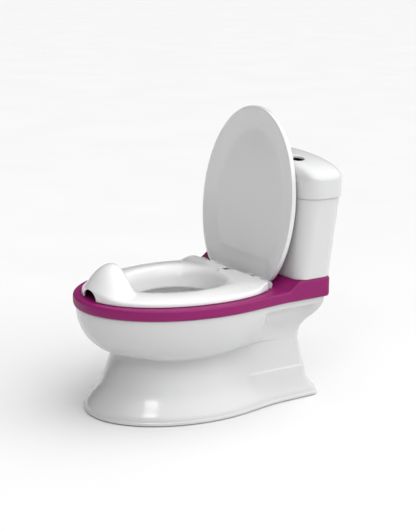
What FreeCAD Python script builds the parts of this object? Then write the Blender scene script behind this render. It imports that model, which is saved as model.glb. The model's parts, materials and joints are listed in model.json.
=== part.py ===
import FreeCAD, Part
import math
import os
import Sketcher

# A potty training chair like a small toilet: pedestal, deck, hinged seat and lid, lift-out pot and tank.
# Millimetres. +Z up, the front with the splash guard towards -Y, mirrored about X = 0 apart from the
# hole in the tank's lid. The origin is on the ground, under the middle of the chair's box.

SIZES = {
    # pedestal and bowl casing
    "wall": 3.0,
    "shell_floor": 1.5,
    "foot_half": 130.0,
    "foot_front": -193.0,
    "foot_rear_half": 115.5,
    "foot_rear": 181.0,
    "waist_height": 93.0,
    "waist_half": 90.0,
    "waist_front": -146.0,
    "waist_rear_half": 98.0,
    "waist_rear": 146.0,
    "rim_half": 143.5,
    "rim_front": -202.0,
    "rim_rear_half": 132.0,
    "rim_rear": 180.0,
    "middle_line": -13.0,
    "shoulder_line": 108.0,
    # deck: a flat ring that ramps up into the tank platform
    "deck_floor": 177.0,
    "ring_top": 194.5,
    "platform_top": 210.0,
    "deck_half": 147.5,
    "deck_front": -206.0,
    "platform_half": 137.0,
    "deck_rear": 184.0,
    "ramp_start": 97.0,
    "ramp_end": 117.0,
    "deck_edge": 4.0,
    "recess_depth": 4.0,
    # opening and pot
    "opening_half": 82.0,
    "opening_front": -131.0,
    "opening_rear": 51.0,
    "opening_middle": -26.0,
    "pot_gap": 7.0,
    "pot_wall": 2.5,
    "pot_flange": 10.0,
    "pot_floor": 96.0,
    # seat
    "seat_half": 131.5,
    "seat_front": -193.0,
    "seat_middle": -11.0,
    "seat_rear": 78.0,
    "seat_egg_rear": 132.0,
    "seat_floor": 195.5,
    "seat_crest": 209.0,
    "guard_peak": 249.0,
    "notch_half": 21.0,
    "notch_height": 16.0,
    # hinge
    "pivot_line": 85.0,
    "pivot_height": 201.5,
    "rod_radius": 2.5,
    "bore_radius": 2.55,
    "lug_radius": 6.0,
    "lug_width": 12.0,
    "post_centre": 94.0,
    "post_radius": 5.5,
    "seat_lug_centre": 66.0,
    "lid_lug_centre": 40.0,
    "lid_lean": 6.9,
    # lid
    "lid_half": 128.5,
    "lid_centre_up": 117.5,
    "lid_semi_length": 162.7,
    "lid_offset": 6.3,
    "lid_thickness": 10.0,
    "lid_recess": 5.0,
    "lid_rim": 9.0,
    # tank
    "tank_half_low": 136.5,
    "tank_front_low": 117.5,
    "tank_rear_low": 188.0,
    "tank_corner_low": 20.0,
    "tank_half_high": 147.0,
    "tank_front_high": 124.5,
    "tank_rear_high": 203.0,
    "tank_corner_high": 28.0,
    "tank_split": 343.0,
    "tank_lip": 4.0,
    "tank_lip_inset": 5.2,
    "tank_lip_wall": 2.3,
    "tank_crown_start": 371.0,
    "tank_top": 408.0,
    "tank_lid_half": 150.0,
    "tank_lid_front": 123.6,
    "tank_lid_rear": 206.0,
    "tank_lid_corner": 31.0,
    "tank_lid_wall": 5.5,
    "tank_hole_radius": 13.0,
    "tank_hole_side": 84.0,
    "tank_hole_line": 148.0,
    # small hardware
    "bumper_radius": 6.0,
    "foot_pad_radius": 9.0,
    "foot_pad_height": 3.0,
    "foot_stem_radius": 3.0,
    "foot_stem_height": 7.0,
    "boss_radius": 5.0,
    "screw_radius": 1.9,
    "post_screw_radius": 1.45,
    "screw_head_radius": 4.0,
    "screw_head_height": 2.5,
}

doc = FreeCAD.newDocument("potty_chair")
sheet = doc.addObject("Spreadsheet::Sheet", "Sizes")
for row, (alias, value) in enumerate(SIZES.items(), start=1):
    sheet.set(f"A{row}", alias)
    sheet.set(f"B{row}", str(value))
    sheet.setAlias(f"B{row}", alias)
doc.recompute()

OUTLINE_POINTS = 48
MIRROR = (-1, 1)
SIDES = {"left": -1, "right": 1}

pieces = []


def node(label, item):
    """Name an object and list it as one of the chair's pieces."""
    item.Label = label
    pieces.append(item)
    return item


def size(alias):
    """Read one driving dimension back from the sheet."""
    return float(getattr(sheet, alias))


# ---------------------------------------------------------------- outlines

def smooth_step(fraction):
    fraction = min(max(fraction, 0.0), 1.0)
    return fraction * fraction * (3.0 - 2.0 * fraction)


def oval_points(half, front, middle, rear):
    """Points round an egg: a half ellipse to the front of the middle line and another to the rear."""
    points = []
    for step in range(OUTLINE_POINTS):
        angle = 2.0 * math.pi * step / OUTLINE_POINTS
        reach = (middle - front) if math.cos(angle) > 0 else (rear - middle)
        points.append((half * math.sin(angle), middle - reach * math.cos(angle)))
    return points


def body_points(half, front, rear_half, rear, corner):
    """Points round a bowl with a rear block: half ellipse, side blend, straight side, round corner."""
    middle = size("middle_line")
    shoulder = size("shoulder_line")
    right = []
    for step in range(16):
        angle = 0.5 * math.pi * step / 16
        right.append((half * math.sin(angle), middle - (middle - front) * math.cos(angle)))
    for step in range(8):
        share = step / 8
        right.append((half + (rear_half - half) * smooth_step(share), middle + (shoulder - middle) * share))
    for step in range(4):
        right.append((rear_half, shoulder + (rear - corner - shoulder) * step / 4))
    for step in range(5):
        angle = 0.5 * math.pi * step / 4
        right.append((rear_half - corner + corner * math.cos(angle),
                      rear - corner + corner * math.sin(angle)))
    for step in range(1, 5):
        right.append(((rear_half - corner) * (1.0 - step / 4), rear))
    left = [(-across, along) for across, along in reversed(right[1:-1])]
    return right + left


def spline_wire(points, height):
    """One closed smooth curve at a height."""
    curve = Part.BSplineCurve()
    curve.interpolate([FreeCAD.Vector(x, y, height) for x, y in points], PeriodicFlag=True)
    return Part.Wire([curve.toShape()])


def prism(points, low, high):
    """A closed outline extruded between two heights."""
    face = Part.Face(spline_wire(points, low))
    return face.extrude(FreeCAD.Vector(0, 0, high - low))


def loft(sections, ruled=False):
    """A solid through (points, height) sections, smooth or straight between them."""
    return Part.makeLoft([spline_wire(points, height) for points, height in sections], True, ruled)


def block(x, y, z):
    """A box from three (low, high) pairs."""
    return Part.makeBox(x[1] - x[0], y[1] - y[0], z[1] - z[0], FreeCAD.Vector(x[0], y[0], z[0]))


def upright(radius, low, high, x, y):
    return Part.makeCylinder(radius, high - low, FreeCAD.Vector(x, y, low))


def crosswise(radius, low, high, y, z):
    return Part.makeCylinder(radius, high - low, FreeCAD.Vector(low, y, z), FreeCAD.Vector(1, 0, 0))


def feature(label, shape):
    """Keep a shape made with Part functions as a named object of the document."""
    item = doc.addObject("Part::Feature", label)
    item.Shape = shape
    item.Placement = FreeCAD.Placement()
    return node(label, item)


# ---------------------------------------------------------------- base shell

DECK_SCREWS = [(-108, -95), (108, -95), (-116, 45), (116, 45)]
TANK_SCREWS = [(-70, 152), (70, 152)]
FEET = {
    "foot_front_left": (-72, -128),
    "foot_front_right": (72, -128),
    "foot_rear_left": (-94, 138),
    "foot_rear_right": (94, 138),
}


def bowl_section(height, inset):
    """Bowl casing: a quarter ellipse at the front and sides, a leaning block at the rear."""
    drop = (size("deck_floor") - height) / (size("deck_floor") - size("waist_height"))
    front_share = 1.0 - math.sqrt(max(0.0, 1.0 - drop * drop))
    side_share = 1.0 - (1.0 - drop) ** 1.6
    rear_share = 0.5 - 0.5 * math.cos(math.pi * drop)
    half = size("rim_half") + (size("waist_half") - size("rim_half")) * front_share
    front = size("rim_front") + (size("waist_front") - size("rim_front")) * front_share
    rear_half = size("rim_rear_half") + (size("waist_rear_half") - size("rim_rear_half")) * side_share
    rear = size("rim_rear") + (size("waist_rear") - size("rim_rear")) * rear_share
    return body_points(half - inset, front + inset, rear_half - inset, rear - inset, 12.0 - inset)


# height share above the ground and flare share of each pedestal section
PEDESTAL = [(1.0, 0.0), (0.78, 0.12), (0.54, 0.36), (0.34, 0.60), (0.20, 0.80), (0.09, 0.98), (0.0, 1.0)]


def pedestal_section(flare, inset):
    half = size("waist_half") + (size("foot_half") - size("waist_half")) * flare
    front = size("waist_front") + (size("foot_front") - size("waist_front")) * flare
    rear_half = size("waist_rear_half") + (size("foot_rear_half") - size("waist_rear_half")) * flare
    rear = size("waist_rear") + (size("foot_rear") - size("waist_rear")) * flare
    return body_points(half - inset, front + inset, rear_half - inset, rear - inset, 12.0 - inset)


def casing(inset, top):
    """The pedestal and the bowl as one solid, drawn in by an inset."""
    waist = size("waist_height")
    floor = size("shell_floor")
    heights = [floor + (waist - floor) * share for share, flare in PEDESTAL]
    lower = loft([(pedestal_section(flare, inset), height)
                  for height, (share, flare) in zip(heights, PEDESTAL)], ruled=True)
    rise = [0.0, 0.04, 0.12, 0.25, 0.42, 0.62, 0.82, 1.0]
    upper = loft([(bowl_section(waist + (top - waist) * share, inset), waist + (top - waist) * share)
                  for share in rise], ruled=True)
    return lower.fuse(upper)


def pot_hole(gap, low, high):
    """The pot's way through the deck and the casing."""
    points = oval_points(size("opening_half") + gap, size("opening_front") - gap,
                         size("opening_middle"), size("opening_rear") + gap)
    return prism(points, low, high)


def base_shell():
    wall = size("wall")
    top = size("deck_floor")
    outer = casing(0.0, top)
    inner = casing(wall, top - wall)
    shell = outer.cut(inner)
    bosses = []
    for x, y in FEET.values():
        bosses.append(upright(size("foot_pad_radius"), size("foot_pad_height"), 55.0, x, y).common(outer))
    shell = shell.fuse(bosses)
    holes = [pot_hole(size("pot_gap") + 3.0, top - 20.0, top + 5.0)]
    stem_top = size("foot_pad_height") + size("foot_stem_height")
    for x, y in FEET.values():
        holes.append(upright(size("foot_stem_radius"), 0.0, stem_top, x, y))
    for x, y in DECK_SCREWS:
        holes.append(upright(size("screw_radius") + 0.3, top - 10.0, top + 1.0, x, y))
    for x, y in TANK_SCREWS:
        holes.append(upright(2.0 * size("screw_head_radius"), top - 10.0, top + 1.0, x, y))
    return shell.cut(holes)


feature("base_shell", base_shell())


# ---------------------------------------------------------------- deck

def deck_outline(inset):
    return body_points(size("deck_half") - inset, size("deck_front") + inset,
                       size("platform_half") - inset, size("deck_rear") - inset, 10.0 - inset)


def above_ramp(drop):
    """Everything above the ring, the S-shaped ramp and the platform, lowered by a drop."""
    low = size("ring_top") - drop
    high = size("platform_top") - drop
    start = size("ramp_start")
    end = size("ramp_end")
    middle = 0.5 * (start + end)
    ramp = Part.BezierCurve()
    ramp.setPoles([FreeCAD.Vector(-200, start, low), FreeCAD.Vector(-200, middle, low),
                   FreeCAD.Vector(-200, middle, high), FreeCAD.Vector(-200, end, high)])
    corners = [(end, high), (300, high), (300, 300), (-300, 300), (-300, low), (start, low)]
    vectors = [FreeCAD.Vector(-200, y, z) for y, z in corners]
    edges = [ramp.toShape()] + [Part.makeLine(a, b) for a, b in zip(vectors, vectors[1:])]
    face = Part.Face(Part.Wire(Part.sortEdges(edges)[0]))
    return face.extrude(FreeCAD.Vector(400, 0, 0))


def deck():
    low = size("deck_floor")
    high = size("platform_top")
    edge = size("deck_edge")
    wall = size("wall")
    body = loft([(deck_outline(0.5 * edge), low), (deck_outline(0.0), low + edge),
                 (deck_outline(0.0), low + 2 * edge), (deck_outline(0.0), high)], ruled=True)
    body = body.cut(above_ramp(0.0))
    gap = size("pot_gap")
    cavity = prism(deck_outline(wall + 0.5 * edge), low - 1.0, high).cut(above_ramp(wall))
    cavity = cavity.cut(pot_hole(gap + 3.0 + size("pot_flange") + 3.0 + wall, low - 2.0, high + 1.0))
    body = body.cut(cavity)
    bosses = []
    for x, y in DECK_SCREWS:
        bosses.append(upright(size("boss_radius"), low, size("ring_top") - 1.0, x, y))
    body = body.fuse(bosses)
    cuts = [pot_hole(gap + 3.0, low - 1.0, high + 1.0)]
    recess_floor = size("ring_top") - size("recess_depth")
    cuts.append(pot_hole(gap + 3.0 + size("pot_flange") + 1.0, recess_floor, high + 1.0))
    for x, y in DECK_SCREWS:
        cuts.append(upright(size("screw_radius") + 0.05, low - 1.0, low + 12.0, x, y))
    for x, y in TANK_SCREWS:
        cuts.append(upright(size("screw_radius") + 0.3, high - 10.0, high + 1.0, x, y))
    for side in MIRROR:
        cuts.append(upright(size("screw_radius") + 0.3, size("ring_top") - 10.0, size("ring_top") + 1.0,
                            side * size("post_centre"), size("pivot_line")))
    return body.cut(cuts)


feature("deck", deck())


# ---------------------------------------------------------------- seat

def seat_outline(inset):
    """The ring's egg-shaped outline. The seat cuts it straight in front of the hinge line."""
    return oval_points(size("seat_half") - inset, size("seat_front") + inset, size("seat_middle"),
                       size("seat_egg_rear") - inset)


def opening_outline(grow):
    return oval_points(size("opening_half") + grow, size("opening_front") - grow, size("opening_middle"),
                       size("opening_rear") + grow)


def seat():
    """A hollow domed ring with the splash guard in front and a notch for a finger under it."""
    floor = size("seat_floor")
    crest = size("seat_crest")
    wall = size("wall")
    dome = loft([(seat_outline(0.6), floor), (seat_outline(0.0), floor + 3.0),
                 (seat_outline(3.5), floor + 7.5), (seat_outline(12.0), crest - 2.2),
                 (seat_outline(26.0), crest - 0.2), (seat_outline(32.0), crest)])
    guard = loft([(oval_points(66.0, size("seat_front") + 1.5, -150.0, -112.0), floor + 4.0),
                  (oval_points(52.0, size("seat_front") + 8.0, -152.0, -118.0), 222.0),
                  (oval_points(36.0, size("seat_front") + 19.0, -153.0, -127.0), 238.0),
                  (oval_points(17.0, size("seat_front") + 31.0, -153.0, -138.0), size("guard_peak"))])
    trim = block((-200, 200), (-300, size("seat_rear")), (floor - 1.0, 300))
    body = dome.fuse(guard).common(trim)
    lugs = []
    for side in MIRROR:
        low = side * size("seat_lug_centre") - 0.5 * size("lug_width")
        high = low + size("lug_width")
        lugs.append(crosswise(size("lug_radius"), low, high, size("pivot_line"), size("pivot_height")))
        lugs.append(block((low, high), (size("seat_rear") - 4.0, size("pivot_line")),
                          (size("pivot_height") - size("lug_radius"), size("pivot_height") + 4.0)))
    body = body.fuse(lugs)
    funnel = loft([(opening_outline(0.0), floor - 1.0), (opening_outline(0.0), crest - 7.0),
                   (opening_outline(5.0), crest - 2.0), (opening_outline(14.0), crest + 1.5)])
    throat = prism(opening_outline(0.0), floor - 2.0, size("guard_peak") + 5.0)
    hollow = prism(seat_outline(4.0), floor - 1.0, crest - 5.0)
    hollow = hollow.common(block((-200, 200), (-300, size("seat_rear") - wall), (0, 300)))
    hollow = hollow.cut(prism(opening_outline(wall), floor - 2.0, crest))
    notch = Part.makeCylinder(size("notch_half"), 60.0, FreeCAD.Vector(0, size("seat_front") - 20.0, 0),
                              FreeCAD.Vector(0, 1, 0))
    squash = FreeCAD.Matrix()
    squash.scale(1.0, 1.0, size("notch_height") / size("notch_half"))
    notch = notch.transformGeometry(squash)
    notch.translate(FreeCAD.Vector(0, 0, size("ring_top")))
    bores = crosswise(size("bore_radius"), -120.0, 120.0, size("pivot_line"), size("pivot_height"))
    return body.cut([funnel, throat, hollow, notch, bores])


feature("seat", seat())


# ---------------------------------------------------------------- inner pot

def inner_pot():
    """A tapered bowl with a flat flange that rests in the deck's recess."""
    gap = size("pot_gap")
    wall = size("pot_wall")
    flange_floor = size("ring_top") - size("recess_depth")
    flange_top = flange_floor + wall
    floor = size("pot_floor")

    def bowl(inset, low):
        depth = flange_top - low
        rim = gap - inset
        return loft([(opening_outline(rim - 26.0), low), (opening_outline(rim - 14.0), low + 0.10 * depth),
                     (opening_outline(rim - 5.0), low + 0.40 * depth),
                     (opening_outline(rim), flange_top + (1.0 if inset else 0.0))])

    flange = prism(opening_outline(gap + size("pot_flange")), flange_floor, flange_top)
    return bowl(0.0, floor).fuse(flange).cut(bowl(wall, floor + wall))


feature("inner_pot", inner_pot())


# ---------------------------------------------------------------- lid

def lid_outline(inset):
    """The lid's own outline, drawn flat: an ellipse cut straight next to the hinge."""
    half = size("lid_half") - inset
    semi = size("lid_semi_length") - inset
    return [(half * math.sin(2.0 * math.pi * step / OUTLINE_POINTS),
             size("lid_centre_up") + semi * math.cos(2.0 * math.pi * step / OUTLINE_POINTS))
            for step in range(OUTLINE_POINTS)]


def lid():
    """Drawn in the pivot's frame: across X, up the lid along Y, and out of its back along -Z."""
    back = -size("lid_offset") - size("lid_thickness")
    face = -size("lid_offset")
    foot = -2.0
    body = loft([(lid_outline(5.0), back), (lid_outline(1.5), back + 1.5), (lid_outline(0.0), back + 4.5),
                 (lid_outline(0.0), face)], ruled=True)
    body = body.common(block((-200, 200), (foot, 400), (back - 5, face + 5)))
    rim = size("lid_rim")
    tray = loft([(lid_outline(rim + 8.0), face - size("lid_recess")), (lid_outline(rim), face + 0.5)],
                ruled=True)
    tray = tray.common(block((-200, 200), (foot + 14.0, 400), (back - 5, face + 5)))
    body = body.cut(tray)
    lugs = []
    for side in MIRROR:
        low = side * size("lid_lug_centre") - 0.5 * size("lug_width")
        high = low + size("lug_width")
        lugs.append(crosswise(size("lug_radius"), low, high, 0.0, 0.0))
        lugs.append(block((low, high), (foot, 7.0), (face - 1.0, 0.0)))
    body = body.fuse(lugs).cut(crosswise(size("bore_radius"), -120.0, 120.0, 0.0, 0.0))
    return body


lid_item = feature("lid", lid())
lid_item.Placement = FreeCAD.Placement(FreeCAD.Vector(0, size("pivot_line"), size("pivot_height")),
                                       FreeCAD.Rotation(FreeCAD.Vector(1, 0, 0), 90.0 - size("lid_lean")))


# ---------------------------------------------------------------- sketch helpers

def origin_plane(body, role):
    for item in body.Origin.OriginFeatures:
        if item.Role == role:
            return item
    raise RuntimeError(f"no {role}")


def new_sketch(body, name, role, offset=None):
    sketch = body.newObject("Sketcher::SketchObject", name)
    sketch.AttachmentSupport = (origin_plane(body, role), "")
    sketch.MapMode = "FlatFace"
    if offset:
        sketch.setExpression(".AttachmentOffset.Base.z", offset)
    return sketch


def bind(sketch, constraint, name, expression):
    """Add a named driving constraint and bind it to the sheet."""
    index = sketch.addConstraint(constraint)
    sketch.renameConstraint(index, name)
    sketch.setExpression(f".Constraints.{name}", expression)


def rounded_rectangle(sketch, half, front, rear, corner):
    """A rounded rectangle from -half to half and from front to rear, each one an expression."""
    guess = [(-100, 50), (100, 50), (100, 150), (-100, 150)]
    radius = 10.0
    lines = []
    for index in range(4):
        ax, ay = guess[index]
        bx, by = guess[(index + 1) % 4]
        length = math.hypot(bx - ax, by - ay)
        ux, uy = (bx - ax) / length, (by - ay) / length
        start = FreeCAD.Vector(ax + ux * radius, ay + uy * radius, 0)
        end = FreeCAD.Vector(bx - ux * radius, by - uy * radius, 0)
        lines.append(sketch.addGeometry(Part.LineSegment(start, end)))
    arcs = []
    for index, (x, y) in enumerate([(100, 50), (100, 150), (-100, 150), (-100, 50)]):
        centre = FreeCAD.Vector(x - math.copysign(radius, x), y + (radius if y < 100 else -radius), 0)
        start = (-90 + 90 * index) * math.pi / 180
        circle = Part.Circle(centre, FreeCAD.Vector(0, 0, 1), radius)
        arcs.append(sketch.addGeometry(Part.ArcOfCircle(circle, start, start + 0.5 * math.pi)))
    for index in range(4):
        sketch.addConstraint(Sketcher.Constraint("Tangent", lines[index], 2, arcs[index], 1))
        sketch.addConstraint(Sketcher.Constraint("Tangent", arcs[index], 2, lines[(index + 1) % 4], 1))
    for index in (0, 2):
        sketch.addConstraint(Sketcher.Constraint("Horizontal", lines[index]))
        sketch.addConstraint(Sketcher.Constraint("Vertical", lines[index + 1]))
    for arc in arcs[1:]:
        sketch.addConstraint(Sketcher.Constraint("Equal", arcs[0], arc))
    bind(sketch, Sketcher.Constraint("Radius", arcs[0], 10.0), "corner", corner)
    bind(sketch, Sketcher.Constraint("DistanceX", -1, 1, lines[1], 1, 100.0), "right", half)
    bind(sketch, Sketcher.Constraint("DistanceX", lines[3], 1, -1, 1, 100.0), "left", half)
    bind(sketch, Sketcher.Constraint("DistanceY", -1, 1, lines[0], 1, 50.0), "front", front)
    bind(sketch, Sketcher.Constraint("DistanceY", -1, 1, lines[2], 1, 150.0), "rear", rear)


def solid_body(label):
    return node(label, doc.addObject("PartDesign::Body", label))


# ---------------------------------------------------------------- tank body

def tank_level(share, inset):
    """Expressions for the tank's outline at a share of its height, drawn in by an inset."""
    def mix(low, high):
        return f"(Sizes.{low} + (Sizes.{high} - Sizes.{low}) * {share})"
    return (f"{mix('tank_half_low', 'tank_half_high')} - {inset}",
            f"{mix('tank_front_low', 'tank_front_high')} + {inset}",
            f"{mix('tank_rear_low', 'tank_rear_high')} - {inset}",
            f"{mix('tank_corner_low', 'tank_corner_high')} - {inset}")


tank = solid_body("tank_body")
low_sketch = new_sketch(tank, "tank_low", "XY_Plane", "Sizes.platform_top")
rounded_rectangle(low_sketch, *tank_level(0.0, "0"))
high_sketch = new_sketch(tank, "tank_high", "XY_Plane", "Sizes.tank_split")
rounded_rectangle(high_sketch, *tank_level(1.0, "0"))
tank_loft = tank.newObject("PartDesign::AdditiveLoft", "tank_loft")
tank_loft.Profile = low_sketch
tank_loft.Sections = [high_sketch]
doc.recompute()
lip_sketch = new_sketch(tank, "tank_lip_outline", "XY_Plane", "Sizes.tank_split")
rounded_rectangle(lip_sketch, *tank_level(1.0, "Sizes.tank_lip_inset"))
lip_pad = tank.newObject("PartDesign::Pad", "tank_lip_pad")
lip_pad.Profile = lip_sketch
lip_pad.setExpression("Length", "Sizes.tank_lip")
doc.recompute()
inner_low = new_sketch(tank, "tank_inner_low", "XY_Plane", "Sizes.platform_top + Sizes.wall")
rounded_rectangle(inner_low, *tank_level(0.0, "Sizes.wall"))
inner_high = new_sketch(tank, "tank_inner_high", "XY_Plane", "Sizes.tank_split + Sizes.tank_lip + 1")
rounded_rectangle(inner_high, *tank_level(1.0, "(Sizes.tank_lip_inset + Sizes.tank_lip_wall)"))
tank_cavity = tank.newObject("PartDesign::SubtractiveLoft", "tank_cavity")
tank_cavity.Profile = inner_low
tank_cavity.Sections = [inner_high]
doc.recompute()
tank_boss_sketch = new_sketch(tank, "tank_boss_circles", "XY_Plane", "Sizes.platform_top")
for x, y in TANK_SCREWS:
    circle = Part.Circle(FreeCAD.Vector(x, y, 0), FreeCAD.Vector(0, 0, 1), size("boss_radius"))
    tank_boss_sketch.addGeometry(circle)
tank_bosses = tank.newObject("PartDesign::Pad", "tank_bosses")
tank_bosses.Profile = tank_boss_sketch
tank_bosses.Length = 12.0
doc.recompute()
tank_pilot_sketch = new_sketch(tank, "tank_pilot_circles", "XY_Plane", "Sizes.platform_top")
for x, y in TANK_SCREWS:
    tank_pilot_sketch.addGeometry(Part.Circle(FreeCAD.Vector(x, y, 0), FreeCAD.Vector(0, 0, 1),
                                              size("screw_radius") + 0.05))
tank_pilots = tank.newObject("PartDesign::Pocket", "tank_pilots")
tank_pilots.Profile = tank_pilot_sketch
tank_pilots.Reversed = True
tank_pilots.Length = 10.0
doc.recompute()


# ---------------------------------------------------------------- tank lid

def tank_lid_outline(inset, across=1.0, along=1.0):
    """Points round the tank lid's rounded rectangle, drawn in and scaled towards its middle."""
    half = size("tank_lid_half") - inset
    deep = 0.5 * (size("tank_lid_rear") - size("tank_lid_front")) - inset
    corner = size("tank_lid_corner") - inset
    middle = 0.5 * (size("tank_lid_front") + size("tank_lid_rear"))
    quarter = [((half - corner) * step / 6, deep) for step in range(6)]
    for step in range(9):
        angle = 0.5 * math.pi * step / 8
        quarter.append((half - corner + corner * math.sin(angle), deep - corner + corner * math.cos(angle)))
    quarter.append((half, 0.5 * (deep - corner)))
    front = quarter + [(half, 0.0)] + [(x, -y) for x, y in reversed(quarter)]
    outline = front + [(-x, y) for x, y in reversed(front[1:-1])]
    return [(x * across, middle - y * along) for x, y in outline]


def crown(inset, floor, low, high):
    """A straight wall with a dome on it: elliptical across, flatter from front to rear."""
    sections = [(tank_lid_outline(inset), floor), (tank_lid_outline(inset), low)]
    for share in (0.2, 0.4, 0.6, 0.76, 0.88, 0.96):
        across = math.sqrt(1.0 - share * share)
        along = (1.0 - share * share) ** 0.25
        sections.append((tank_lid_outline(inset, across, along), low + (high - low) * share))
    sections.append((tank_lid_outline(inset, 0.12, 0.3), high))
    return loft(sections, ruled=True)


def tank_lid():
    floor = size("tank_split")
    low = size("tank_crown_start")
    top = size("tank_top")
    shell = crown(0.0, floor, low, top).cut(crown(size("tank_lid_wall"), floor - 1.0, low - 2.0, top - 4.0))
    hole = upright(size("tank_hole_radius"), low, top + 5.0, size("tank_hole_side"), size("tank_hole_line"))
    return shell.cut(hole)


feature("tank_lid", tank_lid())


# ---------------------------------------------------------------- hinge posts

def hinge_post(label, side):
    """A block with a round head that holds the hinge rod, screwed down from below."""
    body = solid_body(label)
    outline = new_sketch(body, f"{label}_outline", "YZ_Plane", f"{side} * Sizes.post_centre")
    floor = size("ring_top")
    centre = FreeCAD.Vector(size("pivot_line"), size("pivot_height"), 0)
    radius = size("post_radius")
    left = outline.addGeometry(Part.LineSegment(FreeCAD.Vector(centre.x - radius, centre.y, 0),
                                                FreeCAD.Vector(centre.x - radius, floor, 0)))
    base = outline.addGeometry(Part.LineSegment(FreeCAD.Vector(centre.x - radius, floor, 0),
                                                FreeCAD.Vector(centre.x + radius, floor, 0)))
    right = outline.addGeometry(Part.LineSegment(FreeCAD.Vector(centre.x + radius, floor, 0),
                                                 FreeCAD.Vector(centre.x + radius, centre.y, 0)))
    circle = Part.Circle(centre, FreeCAD.Vector(0, 0, 1), radius)
    head = outline.addGeometry(Part.ArcOfCircle(circle, 0.0, math.pi))
    outline.addConstraint(Sketcher.Constraint("Coincident", left, 2, base, 1))
    outline.addConstraint(Sketcher.Constraint("Coincident", base, 2, right, 1))
    outline.addConstraint(Sketcher.Constraint("Tangent", right, 2, head, 1))
    outline.addConstraint(Sketcher.Constraint("Tangent", head, 2, left, 1))
    outline.addConstraint(Sketcher.Constraint("Vertical", left))
    outline.addConstraint(Sketcher.Constraint("Vertical", right))
    outline.addConstraint(Sketcher.Constraint("Horizontal", base))
    bind(outline, Sketcher.Constraint("Radius", head, radius), "head", "Sizes.post_radius")
    bind(outline, Sketcher.Constraint("DistanceX", -1, 1, head, 3, centre.x), "line", "Sizes.pivot_line")
    bind(outline, Sketcher.Constraint("DistanceY", -1, 1, head, 3, centre.y), "height", "Sizes.pivot_height")
    bind(outline, Sketcher.Constraint("DistanceY", -1, 1, base, 1, floor), "floor", "Sizes.ring_top")
    pad = body.newObject("PartDesign::Pad", f"{label}_pad")
    pad.Profile = outline
    pad.Midplane = True
    pad.setExpression("Length", "Sizes.lug_width")
    doc.recompute()
    bore_circle = new_sketch(body, f"{label}_bore_circle", "YZ_Plane", f"{side} * Sizes.post_centre")
    ring = bore_circle.addGeometry(Part.Circle(centre, FreeCAD.Vector(0, 0, 1), size("bore_radius")))
    bind(bore_circle, Sketcher.Constraint("Radius", ring, size("bore_radius")), "bore", "Sizes.bore_radius")
    bind(bore_circle, Sketcher.Constraint("DistanceX", -1, 1, ring, 3, centre.x), "line", "Sizes.pivot_line")
    bind(bore_circle, Sketcher.Constraint("DistanceY", -1, 1, ring, 3, centre.y), "height",
         "Sizes.pivot_height")
    bore = body.newObject("PartDesign::Pocket", f"{label}_bore")
    bore.Profile = bore_circle
    bore.Midplane = True
    bore.setExpression("Length", "2 * Sizes.lug_width")
    doc.recompute()
    pilot_circle = new_sketch(body, f"{label}_pilot_circle", "XY_Plane", "Sizes.ring_top")
    dot = pilot_circle.addGeometry(Part.Circle(FreeCAD.Vector(side * size("post_centre"), centre.x, 0),
                                               FreeCAD.Vector(0, 0, 1), 1.5))
    pilot_circle.addConstraint(Sketcher.Constraint("Radius", dot, 1.5))
    pilot = body.newObject("PartDesign::Pocket", f"{label}_pilot")
    pilot.Profile = pilot_circle
    pilot.Reversed = True
    pilot.Length = 3.6
    doc.recompute()


for name, side in SIDES.items():
    hinge_post(f"hinge_post_{name}", side)


# ---------------------------------------------------------------- rod, caps, rubber and screws

ALONG_X = FreeCAD.Rotation(FreeCAD.Vector(0, 1, 0), 90)
UPWARD = FreeCAD.Rotation()


def cylinder(name, radius, height, place, turn=UPWARD):
    """A Part cylinder whose radius and height are expressions."""
    item = doc.addObject("Part::Cylinder", name)
    item.setExpression("Radius", radius)
    item.setExpression("Height", height)
    item.Placement = FreeCAD.Placement(FreeCAD.Vector(*place), turn)
    return item


def joined(name, first, second):
    item = doc.addObject("Part::Fuse", name)
    item.Base = first
    item.Tool = second
    return item


def group(label, items):
    """Identical loose pieces kept together in one node."""
    item = doc.addObject("Part::Compound", label)
    item.Links = items
    return node(label, item)


pivot = (size("pivot_line"), size("pivot_height"))
rod_reach = size("post_centre") + 0.5 * size("lug_width") - 1.0
rod_length = "2 * (Sizes.post_centre + 0.5 * Sizes.lug_width - 1)"
node("hinge_rod", cylinder("hinge_rod", "Sizes.rod_radius", rod_length, (-rod_reach, *pivot), ALONG_X))

caps = []
for name, side in SIDES.items():
    face = size("post_centre") + 0.5 * size("lug_width")
    disc_start = face if side > 0 else -face - 2.0
    plug_start = face - 0.7 if side > 0 else -face
    disc = cylinder(f"cap_disc_{name}", "Sizes.post_radius - 0.5", "2", (disc_start, *pivot), ALONG_X)
    plug = cylinder(f"cap_plug_{name}", "Sizes.rod_radius - 0.05", "0.7", (plug_start, *pivot), ALONG_X)
    caps.append(joined(f"cap_{name}", disc, plug))
group("hinge_rod_caps", caps)

for label, (x, y) in FEET.items():
    pad = cylinder(f"{label}_pad", "Sizes.foot_pad_radius", "Sizes.foot_pad_height", (x, y, 0))
    stem = cylinder(f"{label}_stem", "Sizes.foot_stem_radius",
                    "Sizes.foot_pad_height + Sizes.foot_stem_height - 0.5", (x, y, 0))
    node(label, joined(label, pad, stem))

BUMPERS = {"front": (70, -135), "rear": (112, 15)}
for end, (across, along) in BUMPERS.items():
    for name, side in SIDES.items():
        label = f"seat_bumper_{end}_{name}"
        node(label, cylinder(label, "Sizes.bumper_radius", "Sizes.seat_crest - 5 - Sizes.ring_top",
                             (side * across, along, size("ring_top"))))


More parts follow.
